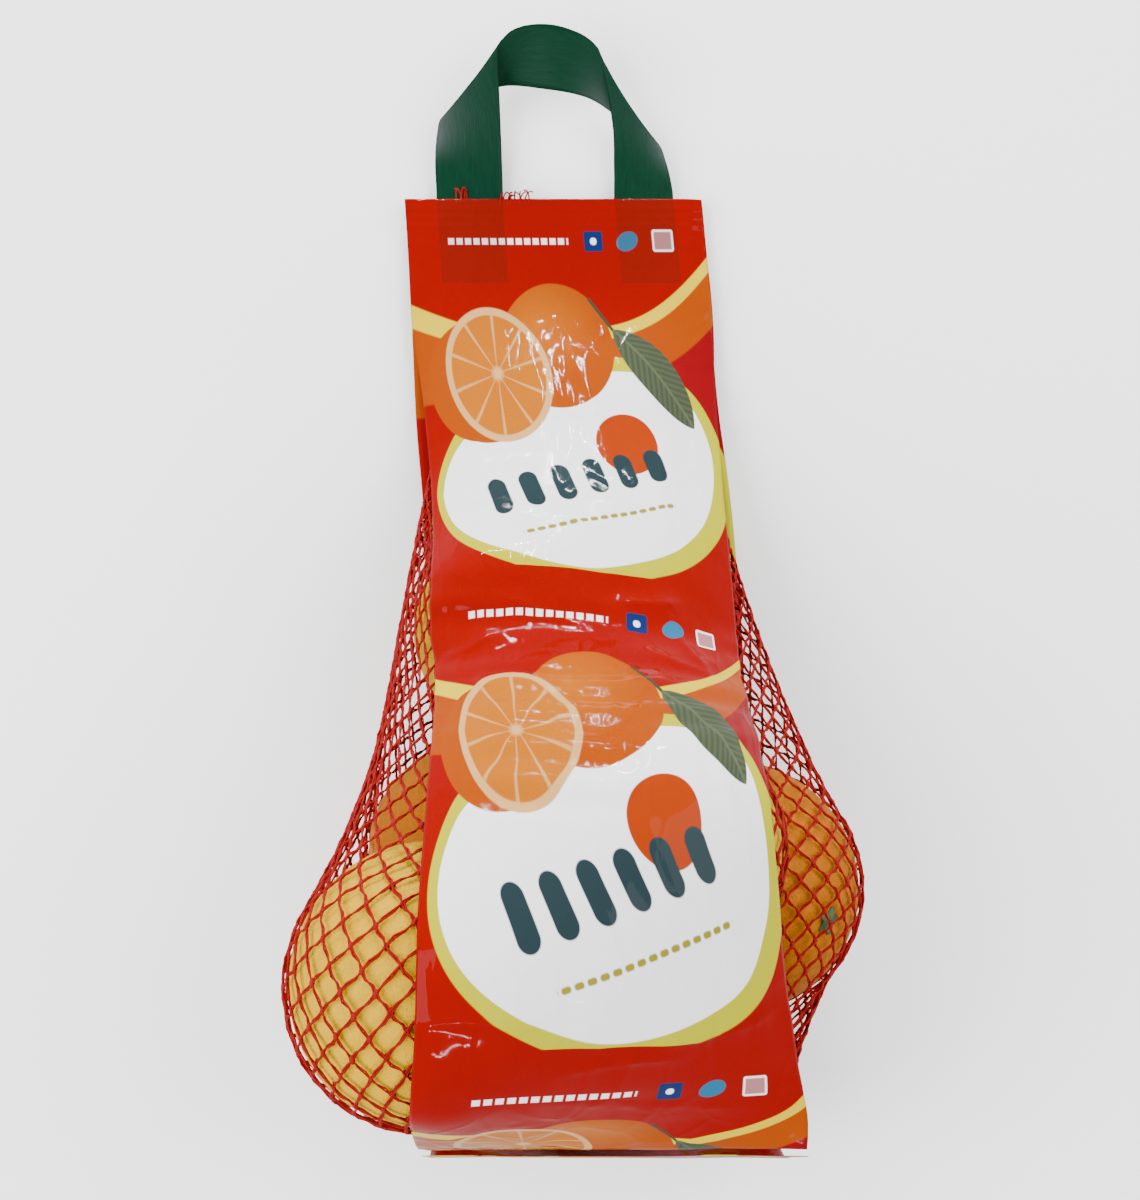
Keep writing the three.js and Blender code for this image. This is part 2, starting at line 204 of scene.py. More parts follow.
class Painter:
    """A shader tree for one material, with short names for its common nodes."""

    def __init__(self, name):
        self.material = bpy.data.materials.new(name)
        self.material.use_nodes = True
        self.tree = self.material.node_tree
        self.shader = self.tree.nodes["Principled BSDF"]

    def node(self, kind, **settings):
        made = self.tree.nodes.new(kind)
        for key, value in settings.items():
            setattr(made, key, value)
        return made

    def link(self, source, target):
        self.tree.links.new(source, target)

    def field(self, socket):
        return Field(self.tree, socket)

    def split(self, socket):
        parts = self.node("ShaderNodeSeparateXYZ")
        self.link(socket, parts.inputs[0])
        return [self.field(parts.outputs[k]) for k in range(3)]

    def attribute(self, label):
        return self.node("ShaderNodeAttribute", attribute_name=label).outputs["Vector"]

    def coordinates(self):
        return self.node("ShaderNodeTexCoord").outputs["Object"]

    def noise(self, vector, scale, detail=2.0, roughness=0.5, distortion=0.0):
        made = self.node("ShaderNodeTexNoise")
        self.link(vector, made.inputs["Vector"])
        made.inputs["Scale"].default_value = scale
        made.inputs["Detail"].default_value = detail
        made.inputs["Roughness"].default_value = roughness
        made.inputs["Distortion"].default_value = distortion
        return self.field(made.outputs["Fac"])

    def voronoi(self, vector, scale, feature="F1"):
        made = self.node("ShaderNodeTexVoronoi", feature=feature)
        self.link(vector, made.inputs["Vector"])
        made.inputs["Scale"].default_value = scale
        return self.field(made.outputs["Distance"])

    def stretched(self, vector, scales):
        made = self.node("ShaderNodeMapping")
        self.link(vector, made.inputs["Vector"])
        made.inputs["Scale"].default_value = scales
        return made.outputs["Vector"]

    def mix(self, amount, below, above):
        """Colour or socket 'above' over 'below' by a mask."""
        made = self.node("ShaderNodeMix", data_type="RGBA")
        self.link(amount.socket, made.inputs["Factor"])
        for value, slot in ((below, made.inputs[6]), (above, made.inputs[7])):
            if isinstance(value, tuple):
                slot.default_value = (*value, 1.0)
            else:
                self.link(value, slot)
        return made.outputs[2]

    def bump(self, height, distance, strength=1.0, below=None):
        made = self.node("ShaderNodeBump")
        made.inputs["Strength"].default_value = strength
        made.inputs["Distance"].default_value = distance
        self.link(height.socket, made.inputs["Height"])
        if below is not None:
            self.link(below, made.inputs["Normal"])
        return made.outputs["Normal"]

    def finish(self, colour, roughness, normal=None, **levels):
        if isinstance(colour, tuple):
            self.shader.inputs["Base Color"].default_value = (*colour, 1.0)
        else:
            self.link(colour, self.shader.inputs["Base Color"])
        if isinstance(roughness, Field):
            self.link(roughness.socket, self.shader.inputs["Roughness"])
        else:
            self.shader.inputs["Roughness"].default_value = roughness
        if normal is not None:
            self.link(normal, self.shader.inputs["Normal"])
        for label, value in levels.items():
            self.shader.inputs[label.replace("_", " ")].default_value = value
        return self.material


# ---------------------------------------------------------------- colours, linear RGB
RED = (0.20, 0.0004, 0.0004)
CRIMSON = (0.17, 0.001, 0.004)
ORANGE = (0.25, 0.036, 0.0003)
FRUIT_ORANGE = (0.25, 0.040, 0.0003)
FRUIT_LIGHT = (0.34, 0.085, 0.001)
PEEL_PALE = (0.45, 0.25, 0.09)
YELLOW = (0.50, 0.36, 0.004)
YELLOW_GREEN = (0.34, 0.32, 0.003)
WHITE = (0.78, 0.75, 0.79)
SLATE = (0.013, 0.026, 0.030)
OLIVE = (0.20, 0.17, 0.012)
LEAF = (0.028, 0.036, 0.022)
LEAF_LIGHT = (0.060, 0.075, 0.040)
DISC = (0.25, 0.024, 0.0005)
BLUE = (0.006, 0.016, 0.080)
CYAN = (0.012, 0.10, 0.20)
FLESH = (0.29, 0.058, 0.0006)
FLESH_LIGHT = (0.37, 0.125, 0.004)
LEG_SHADE = (0.03, 0.012, 0.006)
PEEL_GOLDEN = ((0.46, 0.235, 0.0001), (0.52, 0.310, 0.0002))
# the peel darker and redder: painted shade and a painted red reflection from the film
PEEL_RED_SHADE = ((0.33, 0.086, 0.0001), (0.37, 0.120, 0.0002))
YARN_REDS = ((0.17, 0.0012, 0.0022), (0.24, 0.0045, 0.003))
TAPE_GREENS = ((0.0003, 0.017, 0.0075), (0.0008, 0.028, 0.013))
# painted grey sheen for the tape's folds
TAPE_SHEEN = (0.060, 0.072, 0.074)
CALYX_GREENS = ((0.02, 0.055, 0.012), (0.07, 0.10, 0.03))

# ---------------------------------------------------------------- print of the films
# The white field and its border, as points round them, mm across and down one repeat.
FIELD_EDGE = [
    (85, 41), (98, 48), (106, 60), (108, 78), (103, 98), (86, 107), (67, 115), (51, 117), (34, 115),
    (20, 108), (8, 96), (1, 87), (3, 77), (9.5, 65), (19, 55), (40, 42), (62, 37),
]
FIELD_WHITE = [
    (84, 45), (97, 51), (101, 66), (101, 82), (90, 99), (81, 104), (65.5, 110), (51, 112), (34, 110),
    (21, 104), (7, 90), (4, 80), (9, 72), (20, 60), (40, 48), (62, 43),
]
# Halves of the whole fruit, the cut fruit's skin and its cut face, and how the face leans.
WHOLE_CENTRE, WHOLE_HALF = (50.0, 33.8), (19.8, 21.4)
LIT_CENTRE, LIT_RADIUS = (44.0, 26.0), 20.8
SKIN_CENTRE, SKIN_HALF = (25.0, 44.0), (21.4, 21.4)
FACE_CENTRE, FACE_HALF, FACE_TILT = (29.2, 42.6), (18.0, 23.4), -17.0
SEGMENTS = 10
DISC_CENTRE, DISC_HALF = (70.2, 67.0), (10.4, 10.4)
LEAF_BASE, LEAF_TIP, LEAF_HALF_WIDTH = (70.0, 27.0), (96.0, 59.0), 7.4
# Bars and dots that rise to the right from a first corner, at a pitch of their own.
BARS_START, BARS_RISE = (24.0, 95.0), 15.0
BARS, BAR_PITCH, BAR_RADIUS = 6, 10.6, 3.1
DOT_PITCH = 3.4
BLUE_TILE_CENTRE, OVAL_CENTRE, OUTLINED_TILE_CENTRE = (66.0, 0.0), (78.0, 0.0), (90.6, -0.2)
# Where the handle's ends show through the film: spans across it, and how far down.
LEGS_ACROSS = [(11.5, 35.0), (74.8, 95.8)]
LEGS_DOWN = 32.0


def ellipse(x, y, centre, half, tilt=0.0):
    """Distance-like field, positive inside an ellipse tilted by some degrees."""
    turn = math.radians(tilt)
    dx = x - centre[0]
    dy = y - centre[1]
    across = dx * math.cos(turn) + dy * math.sin(turn)
    along = dy * math.cos(turn) - dx * math.sin(turn)
    across, along = across / half[0], along / half[1]
    return (-(across * across + along * along).math("SQRT") + 1.0) * min(half)


def outline(x, y, points, harmonics=5):
    """Positive inside a smooth closed outline through points about its middle.

    The points' distance from the middle is fitted by a few harmonics of the angle.
    """
    corners = np.array(points, float)
    middle = (corners.min(axis=0) + corners.max(axis=0)) / 2
    away = corners - middle
    angles = np.arctan2(away[:, 1], away[:, 0])
    order = np.argsort(angles)
    turn = np.linspace(-math.pi, math.pi, 144, endpoint=False)
    reach = np.interp(turn, angles[order], np.hypot(*away[order].T), period=2 * math.pi)
    dx, dy = x - middle[0], y - middle[1]
    angle = dy.math("ARCTAN2", dx)
    total = -(dx * dx + dy * dy).math("SQRT") + float(reach.mean())
    for k in range(1, harmonics + 1):
        even = float((reach * np.cos(k * turn)).mean() * 2)
        odd = float((reach * np.sin(k * turn)).mean() * 2)
        total = total + (angle * k).math("COSINE") * even + (angle * k).math("SINE") * odd
    return total


def slab(value, lowest, highest):
    """Positive between two values."""
    middle = (lowest + highest) / 2
    return -abs(value - middle) + (highest - lowest) / 2


def rounded_box(x, y, centre, half, radius):
    """Positive inside a box with round corners."""
    dx = (abs(x - centre[0]) - (half[0] - radius)).either(0.0)
    dy = (abs(y - centre[1]) - (half[1] - radius)).either(0.0)
    return -(dx * dx + dy * dy).math("SQRT") + radius


def leaf_shape(x, y, base, tip, half_width):
    """Lens between two points, the distance from its bent spine, and the share of its length."""
    length = math.hypot(tip[0] - base[0], tip[1] - base[1])
    ux, uy = (tip[0] - base[0]) / length, (tip[1] - base[1]) / length
    along = ((x - base[0]) * ux + (y - base[1]) * uy) / length
    side = (x - base[0]) * -uy + (y - base[1]) * ux
    belly = (along * (-along + 1.0)).either(0.0) * 4.0
    off_spine = abs(side + belly * 1.2)
    return belly.math("POWER", 0.75) * half_width - off_spine - 0.3, off_spine, along


def paint_margins(painter, colour, x, y):
    """Orange fields, a yellow wedge at the left and a yellow sweep at the right."""
    colour = painter.mix(slab(y, 24.0, 50.0).both(-x + 30.0).mask(0.8), colour, ORANGE)
    wedge = slab(y - x * 0.35, 18.5, 25.5).both(-x + 24.0)
    colour = painter.mix(wedge.mask(0.6), colour, YELLOW)
    past = x - 70.0
    under_sweep = y - (-(past * past / 95.0) - past * 0.22 + 28.0)
    field = slab(under_sweep, 0.0, 26.0).both(x - 62.0)
    colour = painter.mix(field.mask(0.6), colour, ORANGE)
    below = (under_sweep - 18.0).both(x - 66.0).both(-y + 80.0)
    colour = painter.mix(below.mask(0.8), colour, CRIMSON)
    sweep = slab(under_sweep, -2.2, 2.2).both(x - 66.0)
    return painter.mix(sweep.mask(0.5), colour, YELLOW)


def paint_whole(painter, colour, x, y, fine):
    """The whole fruit, lighter towards its upper left."""
    lit = ellipse(x, y, LIT_CENTRE, (LIT_RADIUS, LIT_RADIUS))
    glow = (lit / LIT_RADIUS).either(0.0)
    skin = painter.mix(glow * (fine * 0.7 + 0.6), FRUIT_ORANGE, FRUIT_LIGHT)
    return painter.mix(ellipse(x, y, WHOLE_CENTRE, WHOLE_HALF).mask(), colour, skin)


def paint_leaf(painter, colour, x, y, fine):
    """The leaf with its ribs, and its stalk."""
    shape, off_spine, along = leaf_shape(x, y, LEAF_BASE, LEAF_TIP, LEAF_HALF_WIDTH)
    stalk = slab((x - 66.5) * 0.75 - (y - 22.5) * 0.55, -0.5, 0.5).both(slab(y, 17.0, 28.5))
    colour = painter.mix(stalk.mask(0.3), colour, LEAF)
    ribs = (along * 90.0 - off_spine * 2.6).math("SINE") * 0.5 + 0.5
    green = painter.mix(ribs * 0.45 + fine * 0.3, LEAF, LEAF_LIGHT)
    green = painter.mix((-off_spine + 0.45).mask(0.3), green, LEAF_LIGHT)
    return painter.mix(shape.mask(0.3), colour, green)


def paint_marks(painter, colour, x, y):
    """The row of small marks: dashes, a blue tile, a cyan oval and an outlined tile."""
    row = (slab(y, -0.9, 0.9) * 2.0).both(slab(x, 14.5, 57.0))
    dashes = ((x * 2.1).math("SINE") + 0.55).both(row)
    colour = painter.mix(dashes.mask(0.5), colour, WHITE)
    blue_tile = rounded_box(x, y, BLUE_TILE_CENTRE, (3.3, 2.9), 0.8)
    colour = painter.mix(blue_tile.mask(0.3), colour, BLUE)
    spot = rounded_box(x, y, BLUE_TILE_CENTRE, (1.1, 1.0), 0.9)
    colour = painter.mix(spot.mask(0.3), colour, WHITE)
    oval = ellipse(x, y, OVAL_CENTRE, (3.9, 2.7), -20.0)
    colour = painter.mix(oval.mask(0.3), colour, CYAN)
    outlined = rounded_box(x, y, OUTLINED_TILE_CENTRE, (3.7, 3.2), 0.8)
    colour = painter.mix(outlined.mask(0.3), colour, WHITE)
    return painter.mix((outlined - 0.7).mask(0.3), colour, RED)


def shaded(colour, share):
    return tuple(share * c for c in colour)


def paint_print(painter, coords):
    """The repeated print: fields of colour and plain shapes, no lettering."""
    x, length_down, _ = painter.split(coords)
    tile = PRINT_REPEAT / PRINT_STRETCH
    turns = (length_down - PRINT_FIRST_ROW) / PRINT_STRETCH + PRINT_LEAD + 4 * tile
    y = turns.math("MODULO", tile) - PRINT_LEAD
    grain = painter.noise(coords, 0.35, 4.0)
    fine = painter.noise(coords, 2.2, 3.0)

    colour = painter.mix(grain, RED, shaded(RED, 0.93))
    colour = paint_margins(painter, colour, x, y)
    colour = painter.mix(outline(x, y, FIELD_EDGE).mask(), colour, YELLOW_GREEN)
    white = painter.mix(grain, WHITE, shaded(WHITE, 0.94))
    colour = painter.mix(outline(x, y, FIELD_WHITE).mask(), colour, white)
    colour = painter.mix(ellipse(x, y, DISC_CENTRE, DISC_HALF).mask(), colour, DISC)
    colour = paint_bars(painter, colour, x, y)
    colour = paint_whole(painter, colour, x, y, fine)
    colour = paint_half(painter, colour, x, y, fine)
    colour = paint_leaf(painter, colour, x, y, fine)
    colour = paint_marks(painter, colour, x, y)
    return colour, x, length_down


def capsule(dx, dy, half_length, radius):
    """Positive inside a bar with round ends that lies along dy."""
    over = (abs(dy) - half_length).either(0.0)
    return -(dx * dx + over * over).math("SQRT") + radius


def paint_bars(painter, colour, x, y):
    """Round-ended bars on a rising line and a row of dots under them, where a name would be."""
    slope = math.radians(-BARS_RISE)
    dx, dy = x - BARS_START[0], y - BARS_START[1]
    along = dx * math.cos(slope) + dy * math.sin(slope)
    up = dx * math.sin(slope) - dy * math.cos(slope)
    step = (along + 200 * BAR_PITCH).math("MODULO", BAR_PITCH) - BAR_PITCH / 2
    half_height = -(along * 0.028) + 4.4
    bar = capsule(step, up - half_height - 3.2, half_height, BAR_RADIUS)
    row = slab(along, 0.0, BARS * BAR_PITCH)
    colour = painter.mix(bar.both(row).mask(0.4), colour, SLATE)
    dot_step = (along + 1.6 + 200 * DOT_PITCH).math("MODULO", DOT_PITCH) - DOT_PITCH / 2
    dots = capsule(up + 8.6, dot_step, 0.55, 0.75).both(slab(along, 8.0, 60.0))
    return painter.mix(dots.mask(0.4), colour, OLIVE)


def paint_half(painter, colour, x, y, fine):
    """The cut half of a fruit: rind, pale ring, and segments."""
    colour = painter.mix(ellipse(x, y, SKIN_CENTRE, SKIN_HALF).mask(), colour, FRUIT_ORANGE)
    face = ellipse(x, y, FACE_CENTRE, FACE_HALF, FACE_TILT)
    colour = painter.mix(face.mask(), colour, PEEL_PALE)
    flesh = ellipse(x, y, FACE_CENTRE, (FACE_HALF[0] - 2.1, FACE_HALF[1] - 2.5), FACE_TILT)
    turn = math.radians(FACE_TILT)
    dx, dy = x - FACE_CENTRE[0], y - FACE_CENTRE[1]
    across = (dx * math.cos(turn) + dy * math.sin(turn)) / FACE_HALF[0]
    along = (dy * math.cos(turn) - dx * math.sin(turn)) / FACE_HALF[1]
    angle = along.math("ARCTAN2", across)
    out = (across * across + along * along).math("SQRT")
    spokes = abs((angle * (SEGMENTS / 2)).math("SINE"))
    juicy = painter.mix(fine, FLESH, FLESH_LIGHT)
    colour = painter.mix(flesh.mask(), colour, juicy)
    walls = ((-spokes + 0.16) * out * 5.0).both(flesh)
    colour = painter.mix(walls.mask(0.5) * 0.75, colour, PEEL_PALE)
    return painter.mix((-out + 0.10).mask(0.08), colour, PEEL_PALE)


def film_material(name, through_film):
    """Glossy printed film; through_film darkens what the handle's ends show through."""
    painter = Painter(name)
    coords = painter.attribute("film_mm")
    colour, x, down = paint_print(painter, coords)
    if through_film:
        left, right = (slab(x, *edges) for edges in LEGS_ACROSS)
        legs = left.either(right).both(-down + LEGS_DOWN)
        colour = painter.mix(legs.mask(0.5) * 0.30, colour, LEG_SHADE)
    # fine creases and a faint ripple from the netting below
    crumple = painter.voronoi(painter.stretched(coords, (1.0, 0.55, 1.0)), 0.075, "DISTANCE_TO_EDGE")
    crease = (-crumple * 9.0 + 1.0).either(0.0)
    wave = painter.noise(painter.stretched(coords, (1.0, 0.45, 1.0)), 0.11, 1.0, 0.4, 0.3)
    normal = painter.bump(wave, 0.0006)
    normal = painter.bump(crease * 0.5 + painter.noise(coords, 0.9, 1.0) * 0.02, 0.00022, 0.8, normal)
    rough = painter.noise(coords, 0.2, 3.0) * 0.04 + 0.03
    return painter.finish(colour, rough, normal, IOR=1.13)


# ---------------------------------------------------------------- other materials
def peel_material(name, deep, light):
    """Pitted peel with soft patches of a lighter colour."""
    painter = Painter(name)
    where = painter.coordinates()
    pores = painter.voronoi(where, 1150.0)
    pits = (-pores * 1.9 + 1.0).either(0.0)
    patches = painter.noise(where, 26.0, 4.0, 0.6)
    colour = painter.mix(patches, deep, light)
    # painted shade: the pits are darkened
    colour = painter.mix(pits * 0.25, colour, shaded(deep, 0.75))
    normal = painter.bump(-pits + painter.noise(where, 300.0, 2.0) * 0.5, 0.00022, 0.7)
    rough = patches * 0.16 + 0.36
    return painter.finish(colour, rough, normal, IOR=1.12)


def yarn_material():
    """Red plastic yarn with a fine fibre."""
    painter = Painter("yarn")
    where = painter.coordinates()
    tone = painter.noise(where, 90.0, 3.0)
    colour = painter.mix(tone, *YARN_REDS)
    fibres = painter.noise(where, 2600.0, 2.0)
    normal = painter.bump(fibres, 0.0002, 0.6)
    return painter.finish(colour, 0.5, normal, IOR=1.15)


def tape_material():
    """Ribbed green tape with a painted grey sheen along its folds."""
    painter = Painter("tape")
    coords = painter.attribute("tape_mm")
    across, _, fold = painter.split(coords)
    ribs = (across * 7.5).math("SINE") * 0.5 + 0.5
    marks = painter.noise(painter.stretched(coords, (1.0, 0.25, 1.0)), 0.5, 4.0, 0.6)
    colour = painter.mix(marks, *TAPE_GREENS)
    # painted grey sheen along the folds, broken up into streaks
    streaks = painter.noise(painter.stretched(coords, (3.0, 0.15, 1.0)), 0.9, 3.0, 0.6)
    colour = painter.mix(fold * (streaks * 0.9 + 0.35), colour, TAPE_SHEEN)
    normal = painter.bump(ribs, 0.00007, 0.6)
    normal = painter.bump(marks, 0.0006, 0.5, normal)
    return painter.finish(colour, marks * 0.15 + 0.32, normal, IOR=1.14)


def calyx_material():
    """Dry mottled green."""
    painter = Painter("calyx")
    where = painter.coordinates()
    colour = painter.mix(painter.noise(where, 900.0, 3.0), *CALYX_GREENS)
    return painter.finish(colour, 0.8, painter.bump(painter.noise(where, 2500.0), 0.0003))


# ---------------------------------------------------------------- camera, light, floor
def add_camera():
    """Above the bag, leaning a little towards the handle."""
    data = bpy.data.cameras.new("camera")
    data.lens = 45.0
    data.clip_start = 0.01
    camera = bpy.data.objects.new("camera", data)
    camera.location = Vector(place([0.0, 0.0, CAMERA_HEIGHT]))
    camera.rotation_euler = (math.radians(CAMERA_TILT), 0.0, 0.0)
    bpy.context.scene.collection.objects.link(camera)
    bpy.context.scene.camera = camera


def add_light(name, location, target, size, power, size_y=None):
    data = bpy.data.lights.new(name, "AREA")
    data.energy = power
    data.size = size
    if size_y is not None:
        data.shape = "RECTANGLE"
        data.size_y = size_y
    light = bpy.data.objects.new(name, data)
    light.location = location
    light.rotation_euler = (Vector(target) - Vector(location)).to_track_quat("-Z", "Y").to_euler()
    bpy.context.scene.collection.objects.link(light)


def add_studio():
    """Soft light from both sides and a plain pale floor."""
    world = bpy.data.worlds.new("studio")
    world.use_nodes = True
    background = world.node_tree.nodes["Background"]
    background.inputs["Color"].default_value = (1.0, 1.0, 1.0, 1.0)
    background.inputs["Strength"].default_value = 0.75
    bpy.context.scene.world = world
    middle = (0.0, -0.02, 0.05)
    add_light("key_left", (-0.75, -0.20, 0.70), middle, 0.9, 23.0)
    add_light("key_right", (0.75, 0.10, 0.70), middle, 0.9, 16.0)
    # narrow tubes that only draw glints on the film
    for x in (-0.16, -0.04, 0.09):
        add_light("far_strip", (x, 0.95, 0.30), (x * 0.3, 0.0, 0.10), 0.006, 4.0, 0.26)
    add_light("far_tube", (-0.10, 0.95, 0.12), (0.0, -0.05, 0.11), 0.80, 10.0, 0.005)
    add_light("near_strip", (0.0, -0.80, 0.52), (0.0, -0.15, 0.09), 0.50, 3.5, 0.006)

    painter = Painter("floor")
    where = painter.coordinates()
    colour = painter.mix(painter.noise(where, 6.0), (0.90, 0.90, 0.90), (0.93, 0.93, 0.93))
    material = painter.finish(colour, 0.6)
    reach, under = 3.0, -0.0003
    corners = [(-reach, -reach, under), (reach, -reach, under), (reach, reach, under), (-reach, reach, under)]
    floor = new_object("floor", corners, [(0, 1, 2, 3)], material, smooth=False)
    floor.visible_glossy = False


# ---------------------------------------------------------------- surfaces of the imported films
def cad_surface(node):
    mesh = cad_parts[node].data
    verts = [Vector(v.co) for v in mesh.vertices]
    return BVHTree.FromPolygons(verts, [tuple(p.vertices) for p in mesh.polygons])


def scan_film(node, ys, columns):
    """Rows of points on the upper face of a packed film, evenly spaced across in x."""
    surface = cad_surface(node)
    lowest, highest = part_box(node)

    def height(x, y):
        hit = surface.ray_cast(Vector((x, y, 1.0)), Vector((0, 0, -1)))[0]
        return None if hit is None else hit.z

    def edge(inside, outside, y):
        for _ in range(14):
            middle = (inside + outside) / 2
            if height(middle, y) is None:
                outside = middle
            else:
                inside = middle
        return inside

    rows = []
    for y in ys:
        y_m = (y + SHIFT[1]) * 0.001
        probes = np.linspace(lowest.x - 0.002, highest.x + 0.002, 70)
        hits = [x for x in probes if height(x, y_m) is not None]
        step = probes[1] - probes[0]
        left = edge(hits[0], hits[0] - step, y_m)
        right = edge(hits[-1], hits[-1] + step, y_m)
        xs = np.linspace(left, right, columns)
        rows.append([(x, y_m, height(x, y_m)) for x in xs])
    return np.array(rows) * 1000 - SHIFT


def spread(rows, count):
    """Catmull-Rom interpolation of an array of rows to 'count' rows."""
    last = len(rows) - 1
    at = np.linspace(0, last, count)
    i = np.minimum(at.astype(int), last - 1)
    f = (at - i).reshape(-1, *([1] * (rows.ndim - 1)))
    before = rows[np.maximum(i - 1, 0)]
    after = rows[np.minimum(i + 2, last)]
    a, b = rows[i], rows[i + 1]
    return a + 0.5 * f * (b - before + f * (2 * before - 5 * a + 4 * b - after
                                           + f * (3 * (a - b) + after - before)))


def ease(rows, passes):
    """Rows smoothed along the film, with the first and last row kept."""
    for _ in range(passes):
        inner = (rows[:-2] + 2 * rows[1:-1] + rows[2:]) / 4
        rows = np.concatenate([rows[:1], inner, rows[-1:]])
    return rows


def lengths_along(points):
    """The length gone at each point of a path."""
    return np.concatenate([[0], np.cumsum(np.linalg.norm(np.diff(points, axis=0), axis=1))])


def even_rows(grid, columns):
    """Each row respaced to equal lengths across."""
    result = []
    for row in grid:
        gone = lengths_along(row)
        at = np.linspace(0, gone[-1], columns)
        result.append(np.stack([np.interp(at, gone, row[:, k]) for k in range(3)], axis=1))
    return np.array(result)


def grid_normals(grid, closed=False):
    """Unit normals of a grid; closed means that each row is a ring."""
    along = np.gradient(grid, axis=0)
    if closed:
        across = (np.roll(grid, -1, axis=1) - np.roll(grid, 1, axis=1)) / 2
    else:
        across = np.gradient(grid, axis=1)
    normal = np.cross(across, along)
    return normal / np.maximum(np.linalg.norm(normal, axis=2, keepdims=True), 1e-9)


def film_coordinates(grid, haste=0.0):
    """Across and down the film in mm: the print's own coordinates."""
    rows, columns, _ = grid.shape
    across = np.tile(np.linspace(0, FILM_WIDTH, columns), (rows, 1))
    steps = np.linalg.norm(np.diff(grid, axis=0), axis=2)
    own = np.zeros((rows, columns))
    own[:-1] = np.cumsum(steps[::-1], axis=0)[::-1]
    level = np.repeat(own.mean(axis=1, keepdims=True), columns, axis=1)
    shear = np.exp(-((level - SHEAR_AT) / SHEAR_REACH) ** 2)
    down = level + shear * (own - level)
    share = 1 - 0.85 * np.clip((across - 38.0) / 36.0, 0, 1)
    return across, down + haste * share * np.maximum(down - FOOT_PRINT_FROM, 0.0)


def shell_object(name, grid, normal, thickness, material, label, coords):
    """A thin closed shell on both sides of a grid, with its own coordinates as an attribute."""
    rows, columns, _ = grid.shape
    top = (grid + normal * thickness / 2).reshape(-1, 3)
    bottom = (grid - normal * thickness / 2).reshape(-1, 3)
    index = np.arange(rows * columns).reshape(rows, columns)
    a, b, c, d = index[:-1, :-1], index[:-1, 1:], index[1:, 1:], index[1:, :-1]
    below = rows * columns
    rim = np.concatenate([index[0, ::-1], index[1:, 0], index[-1, 1:], index[-2:0:-1, -1]])
    after = np.roll(rim, -1)
    faces = np.concatenate([
        np.stack([a, b, c, d], axis=-1).reshape(-1, 4),
        np.stack([d, c, b, a], axis=-1).reshape(-1, 4) + below,
        np.stack([rim, after, after + below, rim + below], axis=-1),
    ])
    coords = np.stack(coords, axis=2).reshape(-1, 3)
    return new_object(
        name, place(np.concatenate([top, bottom])), faces, material,
        attributes={label: np.concatenate([coords, coords])},
    )


def film_object(name, grid, material, haste=0.0):
    """A printed film along a grid."""
    across, down = film_coordinates(grid, haste)
    coords = (across, down, np.zeros_like(down))
    return shell_object(name, grid, grid_normals(grid), FILM_THICKNESS, material, "film_mm", coords)


# ---------------------------------------------------------------- wrinkles of the front film
# Folds, in mm across and down the film: start, end, height, half width.
CREASES = [
    ((-2, 118), (66, 150), 0.9, 2.2),
    ((20, 176), (60, 186), 0.8, 2.0),
    ((30, 196), (48, 262), 0.7, 2.4),
    ((50, 205), (62, 250), 0.6, 2.0),
    ((70, 168), (92, 205), 0.9, 2.6),
    ((60, 60), (64, 130), 0.5, 3.0),
    ((16, 70), (28, 140), 0.6, 3.0),
    ((84, 90), (78, 160), 0.7, 3.0),
    ((0, 318), (58, 330), 0.6, 1.6),
    ((52, 331), (106, 318), 0.7, 1.8),
    ((8, 262), (34, 300), 0.5, 2.4),
    ((80, 230), (98, 300), 0.6, 3.2),
    ((20, 348), (98, 356), 0.35, 1.2),
    ((58, 176), (84, 168), 1.0, 2.2),
    ((66, 192), (92, 207), 1.0, 2.2),
    ((2, 196), (26, 188), 0.9, 2.0),
    ((-6, 322), (36, 318), 0.9, 1.8),
    ((30, 336), (70, 333), 0.8, 1.8),
]


# Soft folds by noise: height, first and last row, fade, size across and down, seed.
SOFT_FOLDS = [
    (0.55, 40, 200, 40, 12, 85, 1.3),
    (0.8, 150, 260, 25, 30, 9, 4.1),
    (0.45, 20, 400, 20, 15, 20, 7.7),
    (0.3, 300, 420, 20, 40, 9, 9.2),
]
# Even ripples where the film bellies out over the upper fruit.
RIPPLE_PITCH = 14.6
RIPPLE_HEIGHT = 0.62


def window(value, start, end, fade):
    """1 between two values, fading smoothly to 0 inside both ends."""
    rise = np.clip((value - start) / fade, 0, 1)
    fall = np.clip((end - value) / fade, 0, 1)
    both = rise * fall
    return both * both * (3 - 2 * both)


def noise_grid(across, down, scale_x, scale_y, seed):
    """Smooth noise over a grid, with a size of its own each way."""
    flat = [
        noise.noise(Vector((x / scale_x, y / scale_y, seed)))
        for x, y in zip(across.ravel(), down.ravel())
    ]
    return np.array(flat).reshape(across.shape)


def wrinkle_height(across, down):
    """How far the front film stands off its smooth shape, in mm."""
    height = np.zeros_like(down)
    for tall, first, last, fade, wide, long, seed in SOFT_FOLDS:
        height += tall * window(down, first, last, fade) * noise_grid(across, down, wide, long, seed)
    ripple = np.sin(2 * math.pi * (down - 0.12 * across) / RIPPLE_PITCH)
    height += RIPPLE_HEIGHT * window(across, 12, 66, 12) * window(down, 200, 272, 10) * ripple
    for (x0, y0), (x1, y1), tall, half in CREASES:
        length = math.hypot(x1 - x0, y1 - y0)
        ux, uy = (x1 - x0) / length, (y1 - y0) / length
        along = ((across - x0) * ux + (down - y0) * uy) / length
        straight = (down - y0) * ux - (across - x0) * uy
        side = straight + 1.2 * np.sin(along * 5.0 + x0)
        height += tall * np.exp(-np.abs(side) / half) * window(along, 0, 1, 0.3)
    return height


